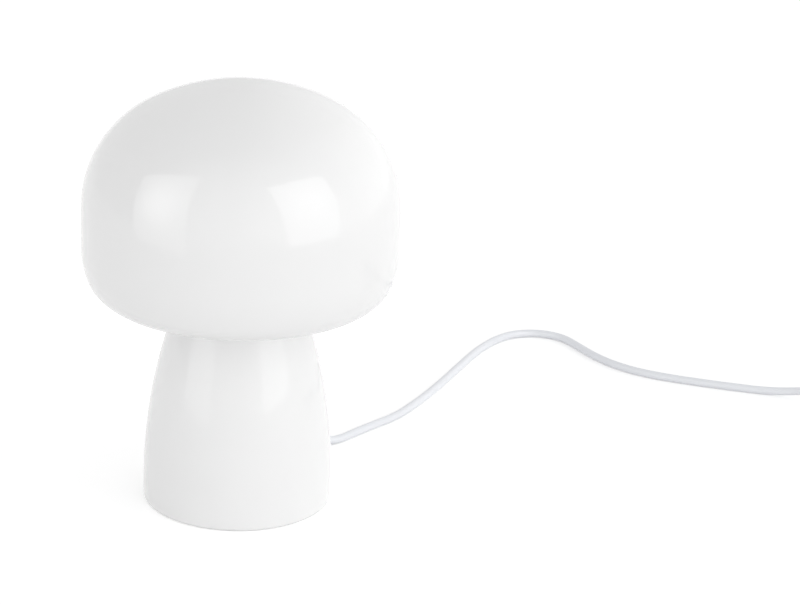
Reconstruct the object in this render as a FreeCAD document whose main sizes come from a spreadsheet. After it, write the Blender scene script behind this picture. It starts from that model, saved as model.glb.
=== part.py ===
"""Mushroom table lamp: one blown opal glass standing over a steel base pan that carries the lampholder.

Millimetres, +Z up. The origin is the middle of the footprint on the table, and the lead leaves along +Y.
"""
import FreeCAD, Part
import Sketcher
import math
import os

os.makedirs("parts", exist_ok=True)
doc = FreeCAD.newDocument("MushroomLamp")
Vector = FreeCAD.Vector

# ---------------------------------------------------------------- driving dimensions

DIMENSIONS = {
    # glass, outside shape from the crown down to the foot
    "cap_radius": 100.0,
    "crown_arc": 132.3,
    "shoulder_arc": 72.3,
    "shoulder_level": 195.2,
    "side_height": 24.8,
    "lower_arc": 58.6,
    "lower_turn": 19.4,
    "rim_arc": 20.0,
    "neck_fillet": 10.0,
    "stem_arc": 344.0,
    "foot_radius": 60.2,
    "foot_straight": 14.0,
    "foot_corner": 2.2,
    "foot_inner_corner": 0.8,
    "glass_wall": 3.5,
    "notch_width": 12.4,
    "notch_height": 14.0,
    # base pan and what is fixed to it
    "pan_gap": 2.2,
    "pan_top": 20.0,
    "pan_sheet": 1.2,
    "pan_bend": 3.0,
    "pan_lip": 10.5,
    "pad_thickness": 1.5,
    "pad_inset": 0.6,
    "ring_height": 2.6,
    "ring_fit": 0.05,
    "glass_clearance": 0.3,
    "clip_count": 3,
    "clip_thickness": 0.6,
    "clip_width": 12.0,
    "clip_start": 30.0,
    "clip_foot": 18.5,
    "clip_bend": 7.5,
    "clip_rise": 18.0,
    "clip_top": 26.0,
    "clip_return": 4.0,
    "clip_clearance": 1.5,
    "rivet_place": 13.5,
    "rivet_shank": 1.5,
    "rivet_head": 3.0,
    "rivet_head_height": 1.2,
    "rivet_bevel": 0.9,
    "rivet_tail": 2.4,
    "rivet_tail_height": 0.8,
    "hole_clearance": 0.1,
    # threaded tube and its fastenings
    "tube_radius": 5.0,
    "tube_bore": 4.0,
    "tube_drop": 5.0,
    "tube_length": 86.0,
    "tube_bevel": 0.4,
    "nut_flats": 14.0,
    "nut_height": 3.0,
    "washer_radius": 9.0,
    "washer_thickness": 1.0,
    "thread_fit": 0.05,
    # lead and its strain relief at the lamp
    "lead_radius": 2.75,
    "lead_fit": 0.05,
    "lead_level": 7.5,
    "lead_bend": 7.5,
    "relief_flange": 4.6,
    "relief_flange_depth": 3.0,
    "relief_neck": 3.8,
    "relief_tip": 3.7,
    "relief_gap": 0.4,
    "relief_shoulder": 7.5,
    "relief_length": 29.5,
    "clamp_place": 30.0,
    "clamp_width": 20.0,
    "clamp_depth": 8.0,
    "clamp_wall": 1.7,
    "clamp_screw_spacing": 12.0,
    "clamp_screw": 1.5,
    "clamp_screw_head": 2.8,
    "clamp_screw_height": 2.0,
    "clamp_screw_bevel": 0.8,
    "clamp_screw_tip": 3.0,
    # lampholder
    "holder_radius": 14.3,
    "holder_wall": 1.5,
    "holder_grip": 9.0,
    "holder_cap_height": 21.0,
    "holder_shell_height": 34.0,
    "holder_mouth": 9.0,
    "core_radius": 12.2,
    "core_drop": 4.0,
    "core_base": 10.0,
    "shell_radius": 7.95,
    "shell_sheet": 0.4,
    "thread_pitch": 2.82,
    "thread_depth": 0.32,
    "terminal_place": 7.0,
    "terminal_head": 2.4,
    "terminal_head_height": 2.2,
    "terminal_shank": 1.4,
    "terminal_depth": 4.0,
    "wire_radius": 0.9,
    # bulb, small globe with a 14 mm screw cap
    "seat_height": 3.0,
    "bulb_thread": 6.92,
    "bulb_length": 78.0,
    "globe_radius": 22.5,
    "globe_wall": 1.0,
    "collar_top": 39.0,
    # cord switch
    "switch_x": 292.0,
    "switch_y": 366.0,
    "switch_length": 62.0,
    "switch_width": 25.0,
    "switch_height": 15.0,
    "switch_axis": 7.0,
    "switch_corner": 7.0,
    "switch_edge": 2.6,
    "switch_under_edge": 1.2,
    "switch_wall": 1.8,
    "boot_length": 22.0,
    "boot_radius": 4.5,
    "boot_tip": 3.5,
    "boot_neck": 3.8,
    "boot_flange": 4.8,
    "rocker_radius": 9.8,
    "rocker_width": 10.4,
    "rocker_pivot": 11.2,
    "rocker_tilt": 9.0,
    "rocker_edge": 32.0,
    "rocker_sink": 2.0,
    "rocker_gap": 0.3,
    "trunnion_radius": 1.2,
    "trunnion_length": 1.9,
    "lug_thickness": 1.8,
    "lug_width": 6.0,
    "pivot_fit": 0.08,
    "switch_screw": 1.4,
    "switch_screw_head": 2.6,
    "switch_screw_x": 21.0,
    "switch_screw_y": 7.9,
    "switch_boss": 2.9,
    # put-away coil, its tie and the plug
    "coil_x": 382.0,
    "coil_radius": 37.5,
    "coil_step": 6.15,
    "coil_turns": 2.5,
    "tie_thickness": 0.6,
    "tie_width": 8.0,
    "tie_gap": 0.25,
    "tie_inner_gap": 0.7,
    "table_gap": 0.02,
    "plug_face": 298.0,
    "plug_length": 30.0,
    "plug_width": 35.3,
    "plug_back_width": 13.0,
    "plug_thickness": 13.7,
    "plug_straight": 8.0,
    "plug_edge": 3.0,
    "plug_boot": 22.0,
    "pin_radius": 2.0,
    "pin_length": 19.0,
    "pin_spacing": 18.6,
    "pin_root": 6.0,
    "pin_core": 1.5,
    "sleeve_length": 10.0,
}


def written(value):
    """The value as a sheet formula."""
    return value.formula if isinstance(value, Size) else repr(float(value))


class Size(float):
    """A number that remembers the sheet formula that it comes from."""

    def __new__(cls, value, formula):
        size = float.__new__(cls, value)
        size.formula = formula
        return size

    def __add__(self, other):
        return Size(float(self) + float(other), f"({written(self)} + {written(other)})")

    def __radd__(self, other):
        return Size(float(other) + float(self), f"({written(other)} + {written(self)})")

    def __sub__(self, other):
        return Size(float(self) - float(other), f"({written(self)} - {written(other)})")

    def __rsub__(self, other):
        return Size(float(other) - float(self), f"({written(other)} - {written(self)})")

    def __mul__(self, other):
        return Size(float(self) * float(other), f"({written(self)} * {written(other)})")

    def __rmul__(self, other):
        return Size(float(other) * float(self), f"({written(other)} * {written(self)})")

    def __truediv__(self, other):
        return Size(float(self) / float(other), f"({written(self)} / {written(other)})")

    def __neg__(self):
        return Size(-float(self), f"(0 - {written(self)})")


sheet = doc.addObject("Spreadsheet::Sheet", "Sizes")
for row, (alias, number) in enumerate(DIMENSIONS.items(), 1):
    sheet.set(f"A{row}", alias)
    sheet.set(f"B{row}", str(number))
    sheet.setAlias(f"B{row}", alias)
doc.recompute()


def size(alias):
    return Size(sheet.get(alias), f"Sizes.{alias}")


# ---------------------------------------------------------------- ways of making

NODES = []
ALONG_Y = FreeCAD.Rotation(Vector(1, 0, 0), -90)
ALONG_X = FreeCAD.Rotation(Vector(0, 1, 0), 90)
MINUS_X = FreeCAD.Rotation(Vector(0, 1, 0), -90)


def node(obj, label):
    """Makes the object one of the lamp's named pieces."""
    obj.Label = label
    NODES.append(obj)
    return obj


def bind(obj, **values):
    """Sets properties, and ties those that come from the sheet to it."""
    for name, value in values.items():
        setattr(obj, name, float(value))
        if isinstance(value, Size):
            obj.setExpression(name, value.formula)
    return obj


def place(obj, x=0.0, y=0.0, z=0.0, rotation=FreeCAD.Rotation()):
    obj.Placement = FreeCAD.Placement(Vector(float(x), float(y), float(z)), rotation)
    for axis, value in (("x", x), ("y", y), ("z", z)):
        if isinstance(value, Size):
            obj.setExpression(f"Placement.Base.{axis}", value.formula)
    return obj


def plane(body, role):
    return next(part for part in body.Origin.OriginFeatures if part.Role == role)


def sketch(body, name, role, outline):
    """A closed outline of (u, v) points. A third value is the radius of an arc to the next point, negative
    when the arc bends clockwise."""
    drawing = body.newObject("Sketcher::SketchObject", name)
    drawing.AttachmentSupport = [(plane(body, role), "")]
    drawing.MapMode = "FlatFace"
    corners = [Vector(float(p[0]), float(p[1]), 0) for p in outline]
    for k, point in enumerate(outline):
        start, end = corners[k], corners[(k + 1) % len(corners)]
        if len(point) == 3:
            middle, radius = (start + end) / 2, abs(float(point[2]))
            chord = end - start
            across = Vector(-chord.y, chord.x, 0).normalize()
            side = math.copysign(math.sqrt(radius**2 - (chord.Length / 2) ** 2), float(point[2]))
            centre = middle + across * side
            first, last = (start, end) if point[2] > 0 else (end, start)
            angles = [math.atan2(p.y - centre.y, p.x - centre.x) for p in (first, last)]
            circle = Part.Circle(centre, Vector(0, 0, 1), radius)
            drawing.addGeometry(Part.ArcOfCircle(circle, *angles))
            row = drawing.addConstraint(Sketcher.Constraint("Radius", k, radius))
            if isinstance(point[2], Size):
                drawing.setExpression(
                    f"Constraints[{row}]", point[2].formula if point[2] > 0 else f"(0 - {point[2].formula})"
                )
        else:
            drawing.addGeometry(Part.LineSegment(start, end))
    ends = [(2, 1) if len(p) == 3 and p[2] < 0 else (1, 2) for p in outline]
    for k, point in enumerate(outline):
        before = (k - 1) % len(outline)
        drawing.addConstraint(Sketcher.Constraint("Coincident", before, ends[before][1], k, ends[k][0]))
        for kind, value in (("DistanceX", point[0]), ("DistanceY", point[1])):
            row = drawing.addConstraint(Sketcher.Constraint(kind, -1, 1, k, ends[k][0], float(value)))
            if isinstance(value, Size):
                drawing.setExpression(f"Constraints[{row}]", value.formula)
    return drawing


def turned(label, outline):
    """A body turned about its own Z from an outline of (radius, height) points."""
    body = doc.addObject("PartDesign::Body", label)
    drawing = sketch(body, f"{label}_outline", "XZ_Plane", outline)
    turn = body.newObject("PartDesign::Revolution", f"{label}_turn")
    turn.Profile = drawing
    turn.ReferenceAxis = (drawing, ["V_Axis"])
    turn.Angle = 360
    return body


def prism(label, outline, length, role="XY_Plane", both=False):
    """A body padded from an outline: upwards from XY, or to both sides of XZ or YZ."""
    body = doc.addObject("PartDesign::Body", label)
    drawing = sketch(body, f"{label}_outline", role, outline)
    pad = body.newObject("PartDesign::Pad", f"{label}_pad")
    pad.Profile = drawing
    pad.Midplane = both
    bind(pad, Length=length)
    return body


def oblong(length, width):
    """A rectangle about the middle."""
    return [
        (-length / 2, -width / 2),
        (length / 2, -width / 2),
        (length / 2, width / 2),
        (-length / 2, width / 2),
    ]


def rounded(body, radius, chosen):
    """Rounds the edges of the body that the test chooses."""
    doc.recompute()
    last = body.Tip
    names = [f"Edge{k}" for k, edge in enumerate(last.Shape.Edges, 1) if chosen(edge)]
    fillet = body.newObject("PartDesign::Fillet", f"{body.Name}_round_{len(body.Group)}")
    fillet.Base = (last, names)
    bind(fillet, Radius=radius)
    return body


def upright(edge):
    start, end = edge.Vertexes[0], edge.Vertexes[-1]
    return abs(start.X - end.X) + abs(start.Y - end.Y) < 1e-6


def cylinder(name, radius, height, **where):
    return place(bind(doc.addObject("Part::Cylinder", name), Radius=radius, Height=height), **where)


def block(name, length, width, height, x=0.0, y=0.0, z=0.0):
    """A box centred on x and y, standing on z."""
    box = bind(doc.addObject("Part::Box", name), Length=length, Width=width, Height=height)
    return place(box, x=x - length / 2, y=y - width / 2, z=z)


def cut(name, base, tools):
    for k, tool in enumerate(tools):
        result = doc.addObject("Part::Cut", f"{name}_{k}")
        result.Base, result.Tool = base, tool
        base = result
    return base


def fuse(name, pieces):
    result = doc.addObject("Part::MultiFuse", name)
    result.Shapes = pieces
    return result


def group(name, pieces):
    """Separate solids under one name."""
    result = doc.addObject("Part::Compound", name)
    result.Links = pieces
    return result


def shaped(label, shape):
    piece = doc.addObject("Part::Feature", label)
    piece.Shape = shape
    return piece


def arc(centre, radius, start, end):
    """An arc in the XZ plane about centre (x, z), between two angles in degrees."""
    spots = []
    for angle in (start, (start + end) / 2, end):
        a = math.radians(angle)
        spots.append(Vector(centre[0] + radius * math.cos(a), 0, centre[1] + radius * math.sin(a)))
    return Part.Arc(*spots).toShape()


# ---------------------------------------------------------------- glass

def glass_skin(inset):
    """One face of the glass wall as edges from the crown down, set in by the wall for the inside face."""
    cap, foot = float(size("cap_radius")), float(size("foot_radius"))
    crown, shoulder = float(size("crown_arc")), float(size("shoulder_arc"))
    lower, rim, stem = float(size("lower_arc")), float(size("rim_arc")), float(size("stem_arc"))
    level, fillet = float(size("shoulder_level")), float(size("neck_fillet"))
    turn = math.radians(size("lower_turn"))
    join = math.acos((cap - shoulder) / (crown - shoulder))
    shoulder_centre = (cap - shoulder, level)
    crown_centre = (0.0, level - (crown - shoulder) * math.sin(join))
    lower_centre = (cap - lower, level - float(size("side_height")))
    rim_centre = (
        lower_centre[0] + (lower - rim) * math.cos(turn),
        lower_centre[1] - (lower - rim) * math.sin(turn),
    )
    under = rim_centre[1] - rim
    stem_centre = (foot - stem, float(size("foot_straight")))
    neck_z = under - fillet
    neck_rise = neck_z - stem_centre[1]
    neck_centre = (stem_centre[0] + math.sqrt((stem + fillet) ** 2 - neck_rise**2), neck_z)
    lean = math.degrees(math.asin(neck_rise / (stem + fillet)))
    degrees = math.degrees(turn)
    edges = [
        arc(crown_centre, crown - inset, 90, math.degrees(join)),
        arc(shoulder_centre, shoulder - inset, math.degrees(join), 0),
        Part.makeLine(
            Vector(cap - inset, 0, level),
            Vector(cap - inset, 0, lower_centre[1]),
        ),
        arc(lower_centre, lower - inset, 0, -degrees),
        arc(rim_centre, rim - inset, -degrees, -90),
        Part.makeLine(
            Vector(rim_centre[0], 0, under + inset),
            Vector(neck_centre[0], 0, under + inset),
        ),
        arc(neck_centre, fillet + inset, 90, 180 + lean),
        arc(stem_centre, stem - inset, lean, 0),
    ]
    return edges


def glass_body():
    wall, foot = float(size("glass_wall")), float(size("foot_radius"))
    straight = float(size("foot_straight"))
    outer, inner = float(size("foot_corner")), float(size("foot_inner_corner"))
    outside, inside = glass_skin(0.0), glass_skin(wall)
    top = (outside[0].Vertexes[0].Point, inside[0].Vertexes[0].Point)
    rim = [
        Part.makeLine(Vector(foot, 0, straight), Vector(foot, 0, outer)),
        arc((foot - outer, outer), outer, 0, -90),
        Part.makeLine(Vector(foot - outer, 0, 0), Vector(foot - wall + inner, 0, 0)),
        arc((foot - wall + inner, inner), inner, -90, -180),
        Part.makeLine(Vector(foot - wall, 0, inner), Vector(foot - wall, 0, straight)),
    ]
    crown = Part.makeLine(*top)
    face = Part.Face(Part.Wire(Part.__sortEdges__(outside + rim + inside + [crown])))
    blown = shaped("blown_glass", face.revolve(Vector(0, 0, 0), Vector(0, 0, 1), 360))
    # the slot for the lead is open downwards, so that the glass lifts off over it
    reach = size("glass_wall") * 3
    half = size("notch_width") / 2
    slot = block(
        "slot", size("notch_width"), reach, size("notch_height") - half + 1, y=size("foot_radius"), z=-1
    )
    slot_round = cylinder(
        "slot_round", half, reach, y=size("foot_radius") - reach / 2,
        z=size("notch_height") - half, rotation=ALONG_Y,
    )
    node(cut("glass", blown, [slot, slot_round]), "glass_body")


# ---------------------------------------------------------------- base

def pan_radius():
    """The pan fills the foot of the glass, with a gap for the silicone band."""
    return size("foot_radius") - size("glass_wall") - size("pan_gap")


def base_pan():
    outer, top, gauge, bend = pan_radius(), size("pan_top"), size("pan_sheet"), size("pan_bend")
    low = size("pad_thickness")
    bore = size("tube_radius") + size("thread_fit") * 4
    pan = turned("pan", [
        (bore, top - gauge),
        (outer - bend, top - gauge, -(bend - gauge)),
        (outer - gauge, top - bend),
        (outer - gauge, low + gauge),
        (outer - size("pan_lip"), low + gauge),
        (outer - size("pan_lip"), low),
        (outer, low),
        (outer, top - bend, bend),
        (outer - bend, top),
        (bore, top),
    ])
    exit_hole = cylinder(
        "exit_hole", size("relief_neck") + size("hole_clearance"), 20,
        y=outer - 10, z=size("lead_level"), rotation=ALONG_Y,
    )
    rivet_hole = size("rivet_shank") + size("hole_clearance")
    holes = [exit_hole]
    circle = outer - size("rivet_place")
    for k in range(int(size("clip_count"))):
        angle = math.radians(clip_angle(k))
        holes.append(cylinder(
            f"rivet_hole_{k}", rivet_hole, 10, x=circle * math.cos(angle),
            y=circle * math.sin(angle), z=top - 5,
        ))
    for side in (-1, 1):
        holes.append(cylinder(
            f"clamp_hole_{side + 1}", size("clamp_screw") + size("hole_clearance"), 10,
            x=size("clamp_screw_spacing") * side / 2, y=size("clamp_place"), z=top - 5,
        ))
    node(cut("base_pan_cut", pan, holes), "base_pan")


def foot_pad():
    outer = pan_radius() - size("pad_inset")
    inner = pan_radius() - size("pan_lip") + size("pad_inset")
    pad = size("pad_thickness")
    node(turned("pad_ring", [(inner, 0), (outer, 0), (outer, pad), (inner, pad)]), "foot_pad")


def centring_ring():
    """Silicone band round the pan's shoulder that keeps the glass in the middle."""
    inner = pan_radius() + size("ring_fit")
    outer = size("foot_radius") - size("glass_wall") - size("glass_clearance")
    top = size("pan_top") - size("pan_bend")
    low = top - size("ring_height")
    node(turned("silicone_ring", [(inner, low), (outer, low), (outer, top), (inner, top)]), "centring_ring")


def clip_angle(k):
    return float(size("clip_start")) + 360.0 * k / int(size("clip_count"))


def spring_clips():
    """Leaf springs that reach the inside of the glass a little above the pan, and their rivets."""
    base, gauge = size("pan_top"), size("clip_thickness")
    reach = size("foot_radius") - size("glass_wall") - size("clip_clearance")
    heel, bend = pan_radius() - size("clip_foot"), pan_radius() - size("clip_bend")
    tip = reach - size("clip_return")
    outline = [
        (heel, base),
        (bend, base),
        (reach, base + size("clip_rise")),
        (tip, base + size("clip_top")),
        (tip - gauge, base + size("clip_top")),
        (reach - gauge * 1.2, base + size("clip_rise")),
        (bend - gauge * 0.6, base + gauge),
        (heel, base + gauge),
    ]
    shank, head, circle = size("rivet_shank"), size("rivet_head"), pan_radius() - size("rivet_place")
    under, tail = base - size("pan_sheet"), size("rivet_tail")
    over = base + gauge
    clips, rivets = [], []
    for k in range(int(size("clip_count"))):
        turn = FreeCAD.Rotation(Vector(0, 0, 1), clip_angle(k))
        strip = prism(f"clip_{k}", outline, size("clip_width"), "XZ_Plane", both=True)
        hole = cylinder(f"clip_hole_{k}", shank + size("hole_clearance"), 6, x=circle, z=base - 3)
        clip = cut(f"clip_cut_{k}", strip, [hole])
        clip.Placement = FreeCAD.Placement(Vector(), turn)
        clips.append(clip)
        rivet = turned(f"rivet_{k}", [
            (0, under - size("rivet_tail_height")),
            (tail, under - size("rivet_tail_height")),
            (tail, under),
            (shank, under),
            (shank, over),
            (head, over),
            (head - size("rivet_bevel"), over + size("rivet_head_height")),
            (0, over + size("rivet_head_height")),
        ])
        angle = math.radians(clip_angle(k))
        rivets.append(place(rivet, x=circle * math.cos(angle), y=circle * math.sin(angle)))
    node(group("clips", clips), "spring_clips")
    node(group("rivets", rivets), "clip_rivets")


def tube_ends():
    low = size("pan_top") - size("tube_drop")
    return low, low + size("tube_length")


def threaded_tube():
    low, high = tube_ends()
    outer, bore, bevel = size("tube_radius"), size("tube_bore"), size("tube_bevel")
    tube = turned("conduit", [
        (bore, low),
        (outer - bevel, low),
        (outer, low + bevel),
        (outer, high - bevel),
        (outer - bevel, high),
        (bore, high),
    ])
    node(tube, "threaded_tube")
    corner = size("nut_flats") / math.sqrt(3)
    angles = [math.radians(60 * k) for k in range(6)]
    hexagon = [(corner * math.cos(a), corner * math.sin(a)) for a in angles]
    top = size("pan_top")
    levels = {
        "lower_nut": top - size("pan_sheet") - size("nut_height"),
        "upper_nut": top + size("washer_thickness"),
        "holder_nut": holder_levels()["low"] - size("nut_height"),
    }
    nuts = []
    for name, level in levels.items():
        body = place(prism(name, hexagon, size("nut_height")), z=level)
        bore = cylinder(f"{name}_bore", outer + size("thread_fit"), size("nut_height") + 2, z=level - 1)
        nuts.append(cut(f"{name}_cut", body, [bore]))
    node(group("nuts", nuts), "tube_nuts")
    inner = outer + size("thread_fit") * 4
    thick = size("washer_thickness")
    washer = turned("washer", [
        (inner, top),
        (size("washer_radius"), top),
        (size("washer_radius"), top + thick),
        (inner, top + thick),
    ])
    node(washer, "tube_washer")


def lead_clamp():
    """Saddle under the pan that grips the lead, with its two screws from above."""
    low = size("lead_level") - size("lead_radius") - size("clamp_wall")
    high = size("pan_top") - size("pan_sheet")
    spot, depth = size("clamp_place"), size("clamp_depth")
    saddle = block("saddle", size("clamp_width"), depth, high - low, y=spot, z=low)
    bore = cylinder(
        "saddle_bore", size("lead_radius") + size("lead_fit"), depth + 2,
        y=spot - depth / 2 - 1, z=size("lead_level"), rotation=ALONG_Y,
    )
    shank, head, bevel = size("clamp_screw"), size("clamp_screw_head"), size("clamp_screw_bevel")
    top, tip = size("pan_top"), low + size("clamp_wall") + size("clamp_screw_tip")
    crown = top + size("clamp_screw_height")
    tools, screws = [bore], []
    for side in (-1, 1):
        across = size("clamp_screw_spacing") * side / 2
        hole = shank + size("thread_fit")
        tools.append(cylinder(f"saddle_hole_{side + 1}", hole, high - tip + 2, x=across, y=spot, z=tip - 1))
        screw = turned(f"clamp_screw_{side + 1}", [
            (0, tip),
            (shank, tip),
            (shank, top),
            (head, top),
            (head, crown - bevel),
            (head - bevel, crown),
            (0, crown),
        ])
        screws.append(place(screw, x=across, y=spot))
    node(cut("saddle_cut", saddle, tools), "lead_clamp")
    node(group("clamp_screw_pair", screws), "clamp_screws")


def relief_end():
    return pan_radius() + size("relief_length")


def strain_relief():
    """Tapered rubber sleeve through the pan's skirt, under the slot of the glass."""
    bore = size("lead_radius") + size("lead_fit")
    inner_face = pan_radius() - size("pan_sheet") - size("relief_gap")
    outer_face = pan_radius() + size("relief_gap")
    flange, neck = size("relief_flange"), size("relief_neck")
    sleeve = turned("sleeve", [
        (bore, inner_face - size("relief_flange_depth")),
        (flange, inner_face - size("relief_flange_depth")),
        (flange, inner_face),
        (neck, inner_face),
        (neck, outer_face),
        (flange, outer_face),
        (flange, pan_radius() + size("relief_shoulder")),
        (size("relief_tip"), relief_end()),
        (bore, relief_end()),
    ])
    node(place(sleeve, z=size("lead_level"), rotation=ALONG_Y), "strain_relief")


# ---------------------------------------------------------------- lampholder

def holder_levels():
    """Heights of the lampholder, which is screwed on the end of the tube, and of the bulb's seat in it."""
    low = tube_ends()[1] - size("holder_grip")
    split = low + size("holder_cap_height")
    core = split - size("core_drop")
    floor = core + size("core_base")
    return {
        "low": low,
        "split": split,
        "top": split + size("holder_shell_height"),
        "core": core,
        "floor": floor,
        "seat": floor + size("seat_height"),
    }


def holder():
    levels = holder_levels()
    outer, wall, split = size("holder_radius"), size("holder_wall"), levels["split"]
    inner, low = outer - wall, levels["low"]
    bore = size("tube_radius") + size("thread_fit")
    node(turned("cap_turned", [
        (bore, low),
        (bore + 3, low),
        (bore + 4.5, low + 4),
        (outer - 0.6, split - 6),
        (outer, split - 4),
        (outer, split),
        (inner, split),
        (inner, split - 5),
        (bore + 3.5, low + 10),
        (bore, low + 10),
    ]), "holder_cap")
    top, mouth = levels["top"], size("holder_mouth")
    node(turned("shell_turned", [
        (inner, split),
        (outer, split),
        (outer, split + 3),
        (outer - 0.5, split + 3.5),
        (outer - 0.8, top - 1),
        (outer - 1.8, top),
        (mouth, top),
        (mouth, top - wall),
        (inner - 0.3, top - wall),
    ]), "holder_shell")
    core, floor, bottom = size("core_radius"), levels["floor"], levels["core"]
    socket = size("shell_radius") + size("thread_fit")
    crest = top - wall - size("glass_clearance")
    insert = turned("insert_turned", [
        (0, bottom),
        (core, bottom),
        (core, crest),
        (socket, crest),
        (socket, floor),
        (0, floor),
    ])
    screws, holes = [], []
    shank, head = size("terminal_shank"), size("terminal_head")
    face, tip = bottom - size("terminal_head_height"), bottom + size("terminal_depth")
    for side in (-1, 1):
        spot = size("terminal_place") * side
        hole = shank + size("thread_fit")
        holes.append(cylinder(f"terminal_hole_{side + 1}", hole, tip - bottom + 2, x=spot, z=bottom - 1))
        screw = turned(f"terminal_{side + 1}", [
            (0, face), (head, face), (head, bottom), (shank, bottom), (shank, tip), (0, tip),
        ])
        screws.append(place(screw, x=spot))
    node(cut("insert_cut", insert, holes), "holder_core")
    node(group("terminals", screws), "terminal_screws")


def rippled(bottom, crest, root, pitches):
    """Points up a thread's rounded ripple."""
    half = size("thread_pitch") / 2
    points = []
    for k in range(pitches):
        points.append((root, bottom + half * (2 * k)))
        points.append((crest, bottom + half * (2 * k + 1)))
    return points


def screw_shell():
    levels = holder_levels()
    floor, gauge, outer = levels["floor"], size("shell_sheet"), size("shell_radius")
    crest = outer - gauge - size("thread_depth")
    ripple = rippled(floor + 3, crest, outer - gauge, 7)
    top = floor + 3 + size("thread_pitch") * 7
    shell = turned("shell_brass", [
        (outer, floor), (outer, top), (outer - gauge, top), *reversed(ripple), (outer - gauge, floor),
    ])
    node(shell, "screw_shell")
    strip = block("contact_strip", 9, 4, 0.6, z=floor)
    button = cylinder("contact_button", 2.0, size("seat_height") - size("glass_clearance"))
    place(button, z=floor)
    node(fuse("contact_joined", [strip, button]), "centre_contact")


# ---------------------------------------------------------------- bulb

def bulb():
    seat, thread = holder_levels()["seat"], size("bulb_thread")
    cap_low = seat + 5
    cap_high = cap_low + size("thread_pitch") * 6 + 1
    inner = thread - 1.3
    node(turned("tip_turned", [
        (0, seat), (1.6, seat), (2.4, seat + 0.6), (2.4, seat + 1.6), (0, seat + 1.6),
    ]), "bulb_tip")
    node(turned("insulator_turned", [
        (0, seat + 1.6), (3.4, seat + 1.6), (inner + 0.5, cap_low), (0, cap_low),
    ]), "bulb_insulator")
    ripple = rippled(cap_low, thread, thread - 0.75, 6)
    node(turned("screw_cap_turned", [
        (inner, cap_low), *ripple, (thread - 0.4, cap_high), (inner, cap_high),
    ]), "bulb_screw_cap")
    radius, middle = size("globe_radius"), seat + size("bulb_length") - size("globe_radius")
    rim = seat + size("collar_top")
    drop = middle - rim
    neck = math.sqrt(float(radius) ** 2 - float(drop) ** 2)
    node(turned("collar_turned", [
        (0, cap_high - 8),
        (inner - 0.05, cap_high - 8),
        (inner - 0.05, cap_high),
        (thread + 0.2, cap_high),
        (thread + 0.2, cap_high + 3),
        (neck, rim),
        (0, rim),
    ]), "bulb_collar")
    board = rim + 1.6
    node(turned("board_turned", [(0, rim), (neck - 3, rim), (neck - 3, board), (0, board)]), "bulb_board")
    wall = size("globe_wall")
    ball = bind(doc.addObject("Part::Sphere", "ball"), Radius=radius)
    hollow = bind(doc.addObject("Part::Sphere", "ball_hollow"), Radius=radius - wall)
    place(ball, z=middle)
    place(hollow, z=middle)
    below = cylinder("ball_below", radius * 2, radius * 2, z=rim - radius * 2)
    node(cut("globe_cut", ball, [hollow, below]), "bulb_globe")


# ---------------------------------------------------------------- cords

def biarc(start, way_in, end, way_out):
    """Two arcs that leave start along way_in and reach end along way_out."""
    span = end - start
    ways = way_in + way_out
    a = 2 * (1 - way_in.dot(way_out))
    b = 2 * span.dot(ways)
    c = -span.dot(span)
    if abs(a) < 1e-9:
        reach = -c / b
    else:
        reach = (-b + math.sqrt(b * b - 4 * a * c)) / (2 * a)
    middle = (start + way_in * reach + end - way_out * reach) / 2
    edges = []
    for p, q, sagged in (
        (start, middle, arc_middle(start, way_in, middle)),
        (middle, end, arc_middle(end, way_out * -1, middle)),
    ):
        edges.append(Part.makeLine(p, q) if sagged is None else Part.Arc(p, sagged, q).toShape())
    return edges


def arc_middle(start, way, end):
    """The middle of the arc from start along way to end."""
    chord = end - start
    length = chord.Length
    forward = chord * (1 / length)
    half = math.acos(max(-1.0, min(1.0, forward.dot(way))))
    if half < 1e-5:
        return None
    side = (way - forward * forward.dot(way)).normalize()
    return start + chord / 2 + side * (length / 2 * math.tan(half / 2))


def swept(edges, radius, way):
    """A round tube along the edges, and its length."""
    path = Part.Wire(edges)
    ring = Part.Wire(Part.Circle(edges[0].Vertexes[0].Point, way, radius).toShape())
    return path.makePipeShell([ring], True, False), path.Length


def tube(label, points, radius):
    """A lead along straight runs joined by tangent arcs, each as large as its runs allow."""
    spots = [Vector(*map(float, p)) for p in points]
    edges, radii, last = [], [], spots[0]
    for before, corner, after in zip(spots, spots[1:], spots[2:]):
        back, on = before - corner, after - corner
        half = (math.pi - back.getAngle(on)) / 2
        trim = 0.45 * min(back.Length, on.Length)
        radii.append(trim / math.tan(half))
        first, second = corner + back.normalize() * trim, corner + on.normalize() * trim
        edges.append(Part.makeLine(last, first))
        edges.append(Part.Arc(first, arc_middle(first, back * -1, second), second).toShape())
        last = second
    edges.append(Part.makeLine(last, spots[-1]))
    solid, length = swept(edges, radius, spots[1] - spots[0])
    ratio = solid.Volume / (math.pi * radius**2 * length)
    print(f"{label}: length {length:.1f}, least radius {min(radii):.1f}, volume ratio {ratio:.5f}")
    print("   radii", [round(r, 1) for r in radii])
    return node(shaped(label, solid), label)


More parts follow.
